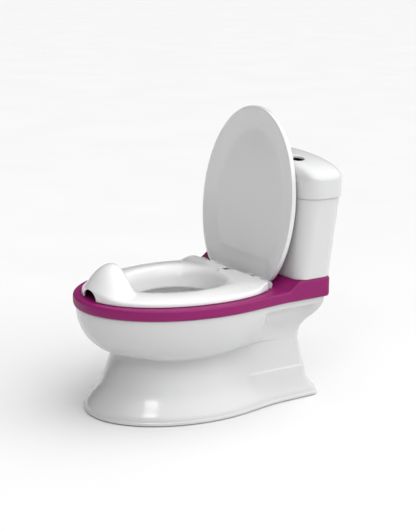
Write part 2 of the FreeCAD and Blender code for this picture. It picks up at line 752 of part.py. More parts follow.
def screws(label, places, under, radius, length):
    """Pan-head screws driven upwards: the head's top touches the underside at a height."""
    floor = under - size("screw_head_height")
    items = []
    for index, (x, y) in enumerate(places):
        head = cylinder(f"{label}_head_{index}", "Sizes.screw_head_radius", "Sizes.screw_head_height",
                        (x, y, floor))
        shank = cylinder(f"{label}_shank_{index}", radius, f"{length} + Sizes.screw_head_height",
                         (x, y, floor))
        items.append(joined(f"{label}_{index}", head, shank))
    group(label, items)


POST_SCREWS = [(side * size("post_centre"), size("pivot_line")) for side in MIRROR]
screws("deck_screws", DECK_SCREWS, size("deck_floor") - size("wall"), "Sizes.screw_radius", "13")
screws("tank_screws", TANK_SCREWS, size("platform_top") - size("wall"), "Sizes.screw_radius", "12")
screws("hinge_post_screws", POST_SCREWS, size("ring_top") - size("wall"), "Sizes.post_screw_radius",
       "Sizes.wall + 3.4")


# ---------------------------------------------------------------- checks and export

def export_all():
    doc.recompute()
    for item in doc.Objects:
        if any(state in ("Invalid", "Error") for state in item.State):
            raise RuntimeError(f"{item.Label} failed to compute")
    for item in pieces:
        if item.Shape.isNull() or not item.Shape.isValid():
            raise RuntimeError(f"{item.Label} has no valid shape")
    os.makedirs("parts", exist_ok=True)
    for item in pieces:
        item.Shape.exportStep(f"parts/{item.Label}.step")
        box = item.Shape.optimalBoundingBox(False)
        spans = [f"{low:.1f}..{high:.1f}" for low, high in
                 ((box.XMin, box.XMax), (box.YMin, box.YMax), (box.ZMin, box.ZMax))]
        print(item.Label, len(item.Shape.Solids), "solids", round(item.Shape.Volume), "mm3", *spans)


export_all()
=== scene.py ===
"""Looks of a potty training chair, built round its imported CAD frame.

Lengths are millimetres unless they say otherwise.
"""
import json
import math

import bmesh
import bpy
from mathutils import Matrix, Vector


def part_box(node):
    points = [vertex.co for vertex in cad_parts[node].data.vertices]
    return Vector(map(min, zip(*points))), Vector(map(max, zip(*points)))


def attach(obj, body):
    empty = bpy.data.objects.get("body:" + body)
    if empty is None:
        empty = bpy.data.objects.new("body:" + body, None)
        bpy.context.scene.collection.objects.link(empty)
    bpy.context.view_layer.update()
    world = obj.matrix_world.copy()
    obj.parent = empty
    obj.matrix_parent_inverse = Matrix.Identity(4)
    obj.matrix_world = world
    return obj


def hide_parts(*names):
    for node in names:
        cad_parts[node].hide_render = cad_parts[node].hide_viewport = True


MM = 0.001
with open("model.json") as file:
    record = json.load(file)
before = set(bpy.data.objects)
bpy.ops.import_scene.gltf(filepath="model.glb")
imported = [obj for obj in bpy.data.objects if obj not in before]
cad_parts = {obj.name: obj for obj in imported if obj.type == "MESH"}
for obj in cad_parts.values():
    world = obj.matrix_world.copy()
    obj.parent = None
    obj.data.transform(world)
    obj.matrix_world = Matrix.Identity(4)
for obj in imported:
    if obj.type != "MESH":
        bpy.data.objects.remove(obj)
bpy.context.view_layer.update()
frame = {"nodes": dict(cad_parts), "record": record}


def box_mm(node):
    low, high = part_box(node)
    return [value / MM for value in low], [value / MM for value in high]


# ------------------------------------------------------------------ sizes

SHELL_LOW, SHELL_HIGH = box_mm("base_shell")
DECK_LOW, DECK_HIGH = box_mm("deck")
SEAT_FRONT = box_mm("seat")[0][1]
TANK_LOW, TANK_HIGH = box_mm("tank_body")
CROWN_LOW, CROWN_HIGH = box_mm("tank_lid")
POT_LOW, POT_HIGH = box_mm("inner_pot")
ROD_LOW, ROD_HIGH = box_mm("hinge_rod")

PIVOT_Y = 0.5 * (ROD_LOW[1] + ROD_HIGH[1])
PIVOT_Z = 0.5 * (ROD_LOW[2] + ROD_HIGH[2])
MIDDLE_LINE = -13.0
SHOULDER_LINE = 108.0
WAIST = 93.0
RIM = SHELL_HIGH[2]
RING_TOP = 194.5
PLATFORM_TOP = DECK_HIGH[2]
OPENING = (82.0, -131.0, -26.0, 51.0)
POT_GAP = 7.0


def smooth(share):
    share = min(max(share, 0.0), 1.0)
    return share * share * (3.0 - 2.0 * share)


def mix(a, b, share):
    return a + (b - a) * share


def curve_through(points, value):
    """A smooth curve through (position, height) points that never overshoots them."""
    if value <= points[0][0]:
        return points[0][1]
    if value >= points[-1][0]:
        return points[-1][1]
    slopes = [(b[1] - a[1]) / (b[0] - a[0]) for a, b in zip(points, points[1:])]
    tangents = [slopes[0]]
    for before, after in zip(slopes, slopes[1:]):
        tangents.append(0.0 if before * after <= 0.0 else 2.0 * before * after / (before + after))
    tangents.append(slopes[-1])
    for index, (a, b) in enumerate(zip(points, points[1:])):
        if value <= b[0]:
            width = b[0] - a[0]
            t = (value - a[0]) / width
            return ((2 * t ** 3 - 3 * t ** 2 + 1) * a[1] + (t ** 3 - 2 * t ** 2 + t) * width * tangents[index]
                    + (3 * t ** 2 - 2 * t ** 3) * b[1] + (t ** 3 - t ** 2) * width * tangents[index + 1])


# ------------------------------------------------------------------ outlines seen from above

def mirrored(right):
    """A whole outline from its right half, which starts at the front's middle and ends at the rear's."""
    return right + [(-x, y) for x, y in reversed(right[1:-1])]


def body_outline(half, front, rear_half, rear, corner):
    """Half ellipse in front, side blend, straight side, round corner, flat rear."""
    right = []
    for step in range(40):
        angle = 0.5 * math.pi * step / 40
        right.append((half * math.sin(angle), MIDDLE_LINE - (MIDDLE_LINE - front) * math.cos(angle)))
    for step in range(44):
        share = step / 44
        right.append((mix(half, rear_half, smooth(share)), mix(MIDDLE_LINE, SHOULDER_LINE, share)))
    for step in range(14):
        right.append((rear_half, mix(SHOULDER_LINE, rear - corner, step / 14)))
    for step in range(8):
        angle = 0.5 * math.pi * step / 8
        right.append((rear_half - corner + corner * math.cos(angle),
                      rear - corner + corner * math.sin(angle)))
    for step in range(13):
        right.append(((rear_half - corner) * (1.0 - step / 12), rear))
    return mirrored(right)


def oval_point(angle, half, front, middle, rear):
    reach = (middle - front) if math.cos(angle) > 0 else (rear - middle)
    return half * math.sin(angle), middle - reach * math.cos(angle)


def opening_like(outline, grow):
    """The opening's oval, grown, with one point for each point of another outline."""
    half, front, middle, rear = OPENING
    points = []
    for x, y in outline:
        reach = (middle - front) if y < middle else (rear - middle)
        angle = math.atan2(x / half, (middle - y) / reach)
        points.append(oval_point(angle, half + grow, front - grow, middle, rear + grow))
    return points


def rounded_rectangle(half, front, rear, corner):
    middle = 0.5 * (front + rear)
    deep = 0.5 * (rear - front)
    quarter = [((half - corner) * step / 12, deep) for step in range(12)]
    for step in range(13):
        angle = 0.5 * math.pi * step / 12
        quarter.append((half - corner + corner * math.sin(angle), deep - corner + corner * math.cos(angle)))
    for step in range(1, 5):
        quarter.append((half, (deep - corner) * (1.0 - step / 5)))
    right = quarter + [(half, 0.0)] + [(x, -y) for x, y in reversed(quarter)]
    return [(x, middle - y) for x, y in mirrored(right)]


def at(outline, height):
    return [(x, y, height) for x, y in outline]


# ------------------------------------------------------------------ materials

def new_material(name):
    material = bpy.data.materials.new(name)
    material.use_nodes = True
    tree = material.node_tree
    return material, tree, tree.nodes["Principled BSDF"]


def noise(tree, scale, detail, roughness=0.5):
    coordinates = tree.nodes.new("ShaderNodeTexCoord")
    texture = tree.nodes.new("ShaderNodeTexNoise")
    texture.inputs["Scale"].default_value = scale
    texture.inputs["Detail"].default_value = detail
    texture.inputs["Roughness"].default_value = roughness
    tree.links.new(coordinates.outputs["Object"], texture.inputs["Vector"])
    return texture


def ramp(tree, source, low, high, low_value, high_value):
    node = tree.nodes.new("ShaderNodeMapRange")
    node.inputs["From Min"].default_value = low
    node.inputs["From Max"].default_value = high
    node.inputs["To Min"].default_value = low_value
    node.inputs["To Max"].default_value = high_value
    tree.links.new(source, node.inputs["Value"])
    return node.outputs["Result"]


def tinted(tree, source, dark, light):
    node = tree.nodes.new("ShaderNodeValToRGB")
    node.color_ramp.elements[0].position = 0.35
    node.color_ramp.elements[1].position = 0.65
    node.color_ramp.elements[0].color = (*dark, 1.0)
    node.color_ramp.elements[1].color = (*light, 1.0)
    tree.links.new(source, node.inputs["Fac"])
    return node.outputs["Color"]


def moulded(name, dark, light, rough_low, rough_high, grain_scale, grain_depth,
            coat=0.0, soft=0.0, gleam=0.5):
    """Moulded plastic: faint flow marks in its colour, uneven gloss, and a fine surface grain."""
    material, tree, shader = new_material(name)
    flow = noise(tree, 5.0, 1.0)
    tree.links.new(tinted(tree, flow.outputs["Fac"], dark, light), shader.inputs["Base Color"])
    gloss = noise(tree, 22.0, 2.0, 0.5)
    roughness = ramp(tree, gloss.outputs["Fac"], 0.3, 0.7, rough_low, rough_high)
    tree.links.new(roughness, shader.inputs["Roughness"])
    grain = noise(tree, grain_scale, 2.0)
    fine = tree.nodes.new("ShaderNodeBump")
    fine.inputs["Strength"].default_value = 0.18
    fine.inputs["Distance"].default_value = grain_depth
    tree.links.new(grain.outputs["Fac"], fine.inputs["Height"])
    tree.links.new(fine.outputs["Normal"], shader.inputs["Normal"])
    shader.inputs["Coat Weight"].default_value = coat
    shader.inputs["Coat Roughness"].default_value = 0.08
    shader.inputs["Specular IOR Level"].default_value = gleam
    shader.inputs["Subsurface Weight"].default_value = soft
    shader.inputs["Subsurface Scale"].default_value = 0.004
    return material


def rubber_material(name):
    material, tree, shader = new_material(name)
    speckle = noise(tree, 900.0, 3.0)
    tree.links.new(tinted(tree, speckle.outputs["Fac"], (0.045, 0.045, 0.048), (0.075, 0.075, 0.08)),
                   shader.inputs["Base Color"])
    tree.links.new(ramp(tree, speckle.outputs["Fac"], 0.3, 0.7, 0.62, 0.85), shader.inputs["Roughness"])
    bump = tree.nodes.new("ShaderNodeBump")
    bump.inputs["Distance"].default_value = 0.0002
    tree.links.new(speckle.outputs["Fac"], bump.inputs["Height"])
    tree.links.new(bump.outputs["Normal"], shader.inputs["Normal"])
    return material


def steel_material(name):
    material, tree, shader = new_material(name)
    coordinates = tree.nodes.new("ShaderNodeTexCoord")
    stretch = tree.nodes.new("ShaderNodeMapping")
    stretch.inputs["Scale"].default_value = (40.0, 900.0, 900.0)
    lines = tree.nodes.new("ShaderNodeTexNoise")
    lines.inputs["Scale"].default_value = 1.0
    lines.inputs["Detail"].default_value = 3.0
    tree.links.new(coordinates.outputs["Object"], stretch.inputs["Vector"])
    tree.links.new(stretch.outputs["Vector"], lines.inputs["Vector"])
    tree.links.new(tinted(tree, lines.outputs["Fac"], (0.48, 0.48, 0.49), (0.66, 0.66, 0.67)),
                   shader.inputs["Base Color"])
    tree.links.new(ramp(tree, lines.outputs["Fac"], 0.3, 0.7, 0.22, 0.4), shader.inputs["Roughness"])
    shader.inputs["Metallic"].default_value = 1.0
    return material


# Painted light and shade: the white parts are all one white plastic, but each part has its own base colour. The
# base shell and tank are darkest (painted shade). The lid is greyer (painted shade). The seat and pot are
# lightest (painted light).
SHELL_WHITE_PAINTED_SHADE = moulded("shell_plastic_painted_shade", (0.60, 0.60, 0.605), (0.61, 0.61, 0.615), 0.19, 0.22, 1100.0, 0.00006,
                      coat=0.5, soft=0.04)
SEAT_WHITE_PAINTED_LIGHT = moulded("seat_plastic_painted_light", (0.765, 0.765, 0.765), (0.775, 0.775, 0.775), 0.16, 0.22, 1100.0, 0.00005,
                     coat=0.35, soft=0.05)
LID_WHITE_PAINTED_SHADE = moulded("lid_plastic_painted_shade", (0.72, 0.72, 0.725), (0.73, 0.73, 0.735), 0.22, 0.25, 1100.0, 0.00006,
                    coat=0.45, soft=0.04)
TANK_WHITE_PAINTED_SHADE = moulded("tank_plastic_painted_shade", (0.635, 0.635, 0.64), (0.645, 0.645, 0.65), 0.23, 0.26, 1100.0, 0.00006,
                     coat=0.2, soft=0.04)
POT_WHITE_PAINTED_LIGHT = moulded("pot_plastic_painted_light", (0.81, 0.81, 0.81), (0.82, 0.82, 0.82), 0.16, 0.22, 1100.0, 0.00005,
                    coat=0.35, soft=0.05)
MAGENTA = moulded("deck_plastic", (0.24, 0.005, 0.114), (0.255, 0.006, 0.122), 0.42, 0.52, 1500.0, 0.00012,
                  coat=0.0, soft=0.02, gleam=0.3)
HINGE_GREY = moulded("hinge_plastic", (0.50, 0.50, 0.51), (0.55, 0.55, 0.56), 0.35, 0.45, 1300.0, 0.00008)
RUBBER = rubber_material("soft_rubber")
STEEL = steel_material("drawn_steel")

FINISH = {"hinge_grey": HINGE_GREY, "rubber_grey": RUBBER, "steel": STEEL, "shell_white": SHELL_WHITE_PAINTED_SHADE,
          "seat_white": SEAT_WHITE_PAINTED_LIGHT, "lid_white": LID_WHITE_PAINTED_SHADE, "tank_white": TANK_WHITE_PAINTED_SHADE, "pot_white": POT_WHITE_PAINTED_LIGHT,
          "deck_magenta": MAGENTA}
for part in frame["record"]["subparts"]:
    mesh = frame["nodes"][part["node"]].data
    mesh.materials.clear()
    mesh.materials.append(FINISH[part["material_slot"]])


# ------------------------------------------------------------------ meshes

def skin(name, loops, body, slot, replaced=None, ring=True):
    """A closed skin through loops of equal length: ring-shaped, or capped at both ends."""
    count = len(loops[0])
    vertices = [Vector(point) * MM for loop in loops for point in loop]
    pairs = [(index, index + 1) for index in range(len(loops) - 1)]
    if ring:
        pairs.append((len(loops) - 1, 0))
    faces = []
    for a, b in pairs:
        for i in range(count):
            j = (i + 1) % count
            faces.append((a * count + i, a * count + j, b * count + j, b * count + i))
    if not ring:
        for loop in (0, len(loops) - 1):
            points = vertices[loop * count:(loop + 1) * count]
            vertices.append(sum(points, Vector()) / count)
            centre = len(vertices) - 1
            faces.extend((loop * count + i, loop * count + (i + 1) % count, centre) for i in range(count))
    mesh = bpy.data.meshes.new(name)
    mesh.from_pydata(vertices, [], faces)
    work = bmesh.new()
    work.from_mesh(mesh)
    bmesh.ops.recalc_face_normals(work, faces=work.faces)
    work.to_mesh(mesh)
    work.free()
    for polygon in mesh.polygons:
        polygon.use_smooth = True
    piece = bpy.data.objects.new(name, mesh)
    bpy.context.scene.collection.objects.link(piece)
    mesh.materials.append(FINISH[slot])
    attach(piece, body)
    if replaced:
        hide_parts(replaced)
    return piece


# ------------------------------------------------------------------ base shell

WAIST_HALF, WAIST_FRONT, WAIST_REAR_HALF, WAIST_REAR = 90.0, -146.0, 101.0, 150.0
FOOT_HALF, FOOT_FRONT, FOOT_REAR_HALF, FOOT_REAR = 130.0, -193.0, 115.5, 181.0
BOWL_HALF, BOWL_FRONT, BOWL_REAR = 143.5, -202.0, 180.0
SHELL_CORNER = 12.0
SHELL_WALL = 3.0
FOOT_LIP = 1.1
LEDGE_OUT = 1.8
LEDGE_TOP = 54.4

# (height, share of the flare) for the front and sides, then for the rear
PEDESTAL = [(0, 1.0), (6, 1.0), (9.7, 0.985), (14, 0.94), (19.8, 0.84), (26, 0.725), (32.6, 0.605),
            (41, 0.475), (50.9, 0.36), (62, 0.23), (72.9, 0.12), (83, 0.04), (93, 0.0)]
PEDESTAL_REAR = [(0, 1.0), (5, 1.0), (12, 0.95), (20, 0.75), (33, 0.45), (54, 0.28), (75, 0.12), (93, 0.0)]
SHELL_HEIGHTS = [1.9, 2.6, 3.6, 5.4, 6.0, 6.6, 7.2, 8.6, 10.5, 13, 16, 19.8, 23.5, 28, 32.6, 38, 44, 49,
                 51.2, 52.4, 53.4, 54.4, 56.4, 60, 66, 72.9, 79, 85, 89, 91.3, 92.6, 93, 93.1, 93.4, 94,
                 95, 96.6, 99, 102, 106, 111, 117, 124, 131, 138, 145, 151, 156, 159.5, 161.8, 163.2,
                 164.2, 165.2, 166.2, 167.4, 169.5, 172.5, 175.4]
# (place along the chair, how far the crease climbs there)
CREASE = [(-200, 9.5), (-146, 8.5), (-100, 4.5), (-60, 3.8), (-13, 5.0), (30, 9.0), (62, 13.0), (80, 13.5),
          (110, 12.0), (200, 9.0)]
# (height, depth of the recessed side panel) and (height, half width of the rear block)
PANEL_DEPTH = [(96, 0.0), (107, 3.0), (125, 6.5), (150, 9.0), (162.5, 10.0), (166.5, 0.0)]
REAR_HALF = [(93, 101.0), (107, 103.0), (125, 109.0), (140, 118.0), (155, 127.0), (166, 131.0), (177, 132.0)]


def crease_rise(y, height):
    """The line between the bowl and the pedestal climbs, most of all on the rear half of the side."""
    if height < WAIST:
        share = smooth((height - 35.0) / (WAIST - 35.0))
    else:
        share = 1.0 - smooth((height - WAIST) / 72.0)
    return curve_through(CREASE, y) * share


def shell_loop(height, inset):
    if height <= WAIST:
        flare = curve_through(PEDESTAL, height)
        half, front = mix(WAIST_HALF, FOOT_HALF, flare), mix(WAIST_FRONT, FOOT_FRONT, flare)
        behind = curve_through(PEDESTAL_REAR, height)
        rear_half, rear = mix(WAIST_REAR_HALF, FOOT_REAR_HALF, behind), mix(WAIST_REAR, FOOT_REAR, behind)
    else:
        drop = (RIM - height) / (RIM - WAIST)
        share = 1.0 - math.sqrt(max(0.0, 1.0 - drop * drop))
        half, front = mix(BOWL_HALF, WAIST_HALF, share), mix(BOWL_FRONT, WAIST_FRONT, share)
        rear_half = curve_through(REAR_HALF, height)
        rear = mix(BOWL_REAR, WAIST_REAR, 0.5 - 0.5 * math.cos(math.pi * drop))
    lip = FOOT_LIP * smooth((height - 5.6) / 1.4) * (1.0 - smooth((height - 10.0) / 30.0))
    inset += lip
    depth = curve_through(PANEL_DEPTH, height)
    edge = mix(60.0, 50.0, (height - 107.0) / 56.0)
    below_ledge = smooth((LEDGE_TOP - height) / 2.2) * (1.0 - smooth((50.0 - height) / 34.0))
    ledge = LEDGE_OUT * below_ledge
    corner = SHELL_CORNER - min(inset, 8.0)
    points = []
    for x, y in body_outline(half - inset, front + inset, rear_half - inset, rear - inset, corner):
        panel = smooth((y - edge) / 17.0) * (1.0 - smooth((y - 135.0) / 38.0))
        across = ledge * smooth((y - 38.0) / 22.0) - depth * panel
        points.append((x * (1.0 + across / rear_half), y, height + crease_rise(y, height)))
    return points


def base_shell():
    outer = [shell_loop(SHELL_LOW[2], 1.0), shell_loop(SHELL_LOW[2] + 0.12, 0.4)]
    outer += [shell_loop(height, 0.0) for height in SHELL_HEIGHTS]
    outer += [shell_loop(RIM - 0.6, 0.15), shell_loop(RIM, 0.8)]
    rim = body_outline(BOWL_HALF - 0.8, BOWL_FRONT + 0.8, 131.2, BOWL_REAR - 0.8, SHELL_CORNER - 0.8)
    hole = opening_like(rim, POT_GAP + 3.0)
    plate = []
    for share in (0.15, 0.4, 0.7, 0.97):
        plate.append([(mix(a[0], b[0], share), mix(a[1], b[1], share), RIM) for a, b in zip(rim, hole)])
    under = [at(hole, RIM - 0.6), at(hole, RIM - 3.0)]
    inner = [shell_loop(height, SHELL_WALL) for height in reversed(SHELL_HEIGHTS[:-1])]
    inner.append(shell_loop(SHELL_LOW[2], SHELL_WALL))
    skin("base_shell_skin", outer + plate + under + inner, "chair", "shell_white", "base_shell")


base_shell()


# ------------------------------------------------------------------ deck

DECK_HALF, PLATFORM_HALF, DECK_CORNER = 147.5, 137.0, 10.0


def deck_height(x, y):
    """The ring's top, an S-shaped ramp that curves back at the sides, and the platform's top."""
    side = smooth((abs(x) - 105.0) / 30.0)
    start, end = 92.0 + 4.0 * side, 117.0 + 9.0 * side
    return mix(RING_TOP, PLATFORM_TOP, smooth((y - start) / (end - start)))


def deck_outline(inset):
    corner = DECK_CORNER - min(inset, 7.0)
    return body_outline(DECK_HALF - inset, DECK_LOW[1] + inset, PLATFORM_HALF - inset, DECK_HIGH[1] - inset,
                        corner)


def deck():
    floor = DECK_LOW[2]
    edge = 4.0
    rim = deck_outline(edge)
    recess = opening_like(rim, POT_GAP + 14.0)
    hole = opening_like(rim, POT_GAP + 3.0)
    loops = [at(hole, RING_TOP - 4.0), at(hole, floor + 3.0), at(hole, floor + 0.5)]
    base = deck_outline(2.6)
    for share in (0.97, 0.6, 0.25):
        loops.append([(mix(a[0], b[0], share), mix(a[1], b[1], share), floor) for a, b in zip(base, hole)])
    for inset, height in ((2.6, 0.0), (1.9, 0.15), (1.1, 0.8), (0.5, 2.0), (0.15, 3.6), (0.0, 5.5)):
        loops.append(at(deck_outline(inset), floor + height))
    side = deck_outline(0.0)
    for share in (0.3, 0.65):
        loops.append([(x, y, mix(floor + 5.5, deck_height(x, y) - edge, share)) for x, y in side])
    for step in range(9):
        angle = 0.5 * math.pi * step / 8
        outline = deck_outline(edge * (1.0 - math.cos(angle)))
        loops.append([(x, y, deck_height(x, y) - edge * (1.0 - math.sin(angle))) for x, y in outline])
    for step in range(1, 44):
        share = 0.985 * step / 43
        loop = []
        for a, b in zip(rim, recess):
            x, y = mix(a[0], b[0], share), mix(a[1], b[1], share)
            loop.append((x, y, deck_height(x, y)))
        loops.append(loop)
    loops += [at(opening_like(rim, POT_GAP + 14.4), RING_TOP - 0.15), at(recess, RING_TOP - 0.6),
              at(recess, RING_TOP - 3.7), at(opening_like(rim, POT_GAP + 13.6), RING_TOP - 4.0)]
    skin("deck_skin", loops, "chair", "deck_magenta", "deck")


deck()


# ------------------------------------------------------------------ seat

SEAT_OVAL = (131.5, SEAT_FRONT - 2.0, -11.0, 150.0)
SEAT_OPENING = (68.0, -118.0, -26.0, 38.0)
SEAT_REAR = 78.0
SEAT_FLOOR = 195.5
SEAT_CREST = 208.2
SEAT_BACK_TOP = 209.2
NOTCH_HALF, NOTCH_TOP = 21.0, 210.5
# (share of the way from the outer edge to the opening, share of the crest's height); the last ones lie
# under the ring's own foot and make the splash skirt inside the pot's mouth
RING_PROFILE = [(0.0, 0.0), (0.005, 0.14), (0.012, 0.28), (0.025, 0.42), (0.05, 0.54), (0.09, 0.63),
                (0.15, 0.71), (0.22, 0.79), (0.30, 0.87), (0.39, 0.94), (0.48, 0.985), (0.56, 1.0),
                (0.64, 0.975), (0.72, 0.90), (0.79, 0.74), (0.85, 0.50), (0.90, 0.18), (0.935, -0.25),
                (0.96, -0.75), (0.98, -1.25), (1.0, -1.8)]


def seat_angles():
    """Angles round the seat, close together at the notch's two feet."""
    notch = [math.asin(NOTCH_HALF * math.sin(0.5 * math.pi * step / 14) / SEAT_OVAL[0]) for step in range(15)]
    last = notch[-1]
    right = notch + [last + 0.002, last + 0.006, last + 0.014]
    start = right[-1]
    right += [mix(start, math.pi, (step + 1) / 92) for step in range(92)]
    return right + [2.0 * math.pi - angle for angle in reversed(right[1:-1])]


def guard_height(x, y):
    """The splash guard: a round hump, long and even in front and short at the back."""
    reach = 51.0 if y < -147.5 else 24.0
    radius = math.hypot(x / 59.0, (y + 147.5) / reach)
    if radius < 1.0:
        return 197.8 + 50.3 * (1.0 - radius * radius)
    return 197.8 - 45.0 * (radius - 1.0)


def joined_smoothly(a, b, reach):
    overlap = max(reach - abs(a - b), 0.0) / reach
    return max(a, b) + 0.25 * overlap * overlap * reach


def seat_column(angle):
    """One cut across the ring, from its outer foot over the crest to its inner foot."""
    outer = oval_point(angle, *SEAT_OVAL)
    inner = oval_point(angle, *SEAT_OPENING)
    outer = (outer[0], min(outer[1], SEAT_REAR))
    points = []
    for share, lift in RING_PROFILE:
        x, y = mix(outer[0], inner[0], share), mix(outer[1], inner[1], share)
        height = mix(SEAT_FLOOR, SEAT_CREST, lift)
        if share < 0.6:
            height = mix(height, SEAT_BACK_TOP, smooth((y - 46.0) / 24.0) * smooth(lift / 0.32))
        blend = smooth(lift / 0.45)
        points.append((x, y, mix(height, joined_smoothly(height, guard_height(x, y), 15.0), blend)))
    return points


def seat_point(column, place):
    """A point part of the way along a column."""
    place = min(max(place, 0.0), len(column) - 1.0)
    index = min(int(place), len(column) - 2)
    share = place - index
    return tuple(mix(a, b, share) for a, b in zip(column[index], column[index + 1]))


def notch_start(column):
    """How far up the outer face the notch's arch cuts in."""
    x = abs(column[0][0])
    if x >= NOTCH_HALF:
        return 0.0
    arch = RING_TOP + (NOTCH_TOP - RING_TOP) * math.sqrt(1.0 - (x / NOTCH_HALF) ** 2)
    place = 0.0
    while seat_point(column, place)[2] < arch and place < 12.0:
        place += 0.05
    return place


def seat():
    columns = [seat_column(angle) for angle in seat_angles()]
    starts = [notch_start(column) for column in columns]
    settle = 9.0
    places = [step * 0.5 for step in range(2 * (len(RING_PROFILE) - 1) + 1)]
    outside = []
    for place in places:
        loop = []
        for column, start in zip(columns, starts):
            moved = start + (settle - start) * place / settle if place < settle else place
            loop.append(seat_point(column, moved))
        outside.append(loop)
    inside = []
    wall = 3.0
    for number, loop in reversed(list(enumerate(outside))):
        thinner = []
        for index, point in enumerate(loop):
            before = Vector(outside[max(number - 1, 0)][index])
            after = Vector(outside[min(number + 1, len(outside) - 1)][index])
            along = Vector(loop[index - 1]) - Vector(loop[(index + 1) % len(loop)])
            normal = (after - before).cross(along)
            normal.normalize()
            shifted = Vector(point) - wall * normal
            if number < 2 or number > len(outside) - 3:
                shifted.z = point[2]
            thinner.append(tuple(shifted))
        inside.append(thinner)
    skin("seat_skin", outside + inside, "seat", "seat_white", "seat")


seat()


def knuckle(name, centre_x, arm, body, slot):
    """A hinge knuckle: a round eye on the rod with an arm that runs into its panel."""
    radius, bore, half_width, count = 6.0, 2.55, 6.0, 48
    outline = []
    for step in range(count):
        angle = 2.0 * math.pi * step / count
        direction = Vector((math.cos(angle), math.sin(angle)))
        reach = radius + arm.length * max(0.0, direction.dot(arm.normalized())) ** 6
        outline.append(direction * reach)
    eye = [Vector((math.cos(2.0 * math.pi * step / count), math.sin(2.0 * math.pi * step / count))) * bore
           for step in range(count)]
    loops = []
    for offset, shrink in ((-1.0, 0.93), (-0.97, 0.98), (-0.9, 1.0), (0.9, 1.0), (0.97, 0.98), (1.0, 0.93)):
        loops.append([(centre_x + offset * half_width, PIVOT_Y + p.x * shrink, PIVOT_Z + p.y * shrink)
                      for p in outline])
    for offset in (1.0, -1.0):
        face = centre_x + offset * half_width
        loops.append([(face, PIVOT_Y + p.x * 1.1, PIVOT_Z + p.y * 1.1) for p in eye])
        if offset > 0:
            loops.append([(centre_x + 0.96 * half_width, PIVOT_Y + p.x, PIVOT_Z + p.y) for p in eye])
            loops.append([(centre_x - 0.96 * half_width, PIVOT_Y + p.x, PIVOT_Z + p.y) for p in eye])
    return skin(name, loops, body, slot)


for side, word in ((-1, "left"), (1, "right")):
    knuckle(f"seat_knuckle_{word}", side * 66.0, Vector((-5.0, -0.5)), "seat", "seat_white")


# ------------------------------------------------------------------ lid

LEAN = math.radians(6.9)
LID_HALF, LID_MIDDLE, LID_SEMI, LID_FOOT = 128.5, 117.5, 162.7, -2.0
LID_FACE = -6.3
TRAY_DEPTH = 8.0
# (inset, height over the inner face) round the edge from the tray's lip to the middle of the back
LID_EDGE = [(3.1, -0.8), (2.9, -0.25), (2.5, 0.0), (1.5, 0.0), (0.9, -0.15), (0.35, -0.6), (0.08, -1.2),
            (0.0, -2.2), (0.0, -4.5), (0.0, -6.4), (0.25, -7.5), (0.9, -8.6), (2.0, -9.4), (3.6, -9.85),
            (6.0, -10.0), (14.0, -10.0), (30.0, -10.0), (52.0, -10.0), (78.0, -10.0), (104.0, -10.0),
            (118.0, -10.0)]


def lid_world(x, up, out):
    """From the open lid's own frame: up along it from the pivot, and out of its inner face."""
    return (x, PIVOT_Y + up * math.sin(LEAN) - out * math.cos(LEAN),
            PIVOT_Z + up * math.cos(LEAN) + out * math.sin(LEAN))


def lid_outline(inset):
    """An ellipse cut straight beside the hinge, with its two corners rounded."""
    foot = LID_FOOT + inset
    points = []
    for step in range(176):
        angle = 2.0 * math.pi * (step + 0.5) / 176
        points.append([(LID_HALF - inset) * math.sin(angle),
                       LID_MIDDLE + (LID_SEMI - inset) * math.cos(angle)])
    for point in points:
        point[1] = max(point[1], foot)
    for _ in range(10):
        moved = [list(point) for point in points]
        for index, point in enumerate(points):
            if point[1] < foot + 26.0 and abs(point[0]) > 0.45 * (LID_HALF - inset):
                before, after = points[index - 1], points[(index + 1) % len(points)]
                moved[index] = [0.25 * (before[k] + after[k]) + 0.5 * point[k] for k in (0, 1)]
        points = moved
    return points


def lid_loop(inset, out):
    return [lid_world(x, up, out) for x, up in lid_outline(inset)]


def lid():
    loops = []
    for inset in (118, 104, 88, 72, 60, 52):
        loops.append(lid_loop(inset, LID_FACE - TRAY_DEPTH + 0.4 * (inset - 52.0) / 66.0))
    for step in range(15):
        inset = mix(46.0, 3.6, step / 14)
        loops.append(lid_loop(inset, LID_FACE - 1.0 - (TRAY_DEPTH - 1.0) * smooth((inset - 2.0) / 38.0)))
    for inset, out in LID_EDGE:
        loops.append(lid_loop(inset, LID_FACE + out))
    skin("lid_skin", loops, "lid", "lid_white", "lid", ring=False)


lid()
for side, word in ((-1, "left"), (1, "right")):
    knuckle(f"lid_knuckle_{word}", side * 40.0, Vector((3.0, 0.6)), "lid", "hinge_grey")


# ------------------------------------------------------------------ tank

TANK_SPLIT = CROWN_LOW[2]
TANK_LOW_PLAN = (136.5, 117.5, 188.0, 20.0)
TANK_HIGH_PLAN = (147.0, 124.5, 203.0, 28.0)


def tank_plan(height, inset):
    share = (height - TANK_LOW[2]) / (TANK_SPLIT - TANK_LOW[2])
    half, front, rear, corner = (mix(a, b, share) for a, b in zip(TANK_LOW_PLAN, TANK_HIGH_PLAN))
    return at(rounded_rectangle(half - inset, front + inset, rear - inset, max(corner - inset, 3.0)), height)


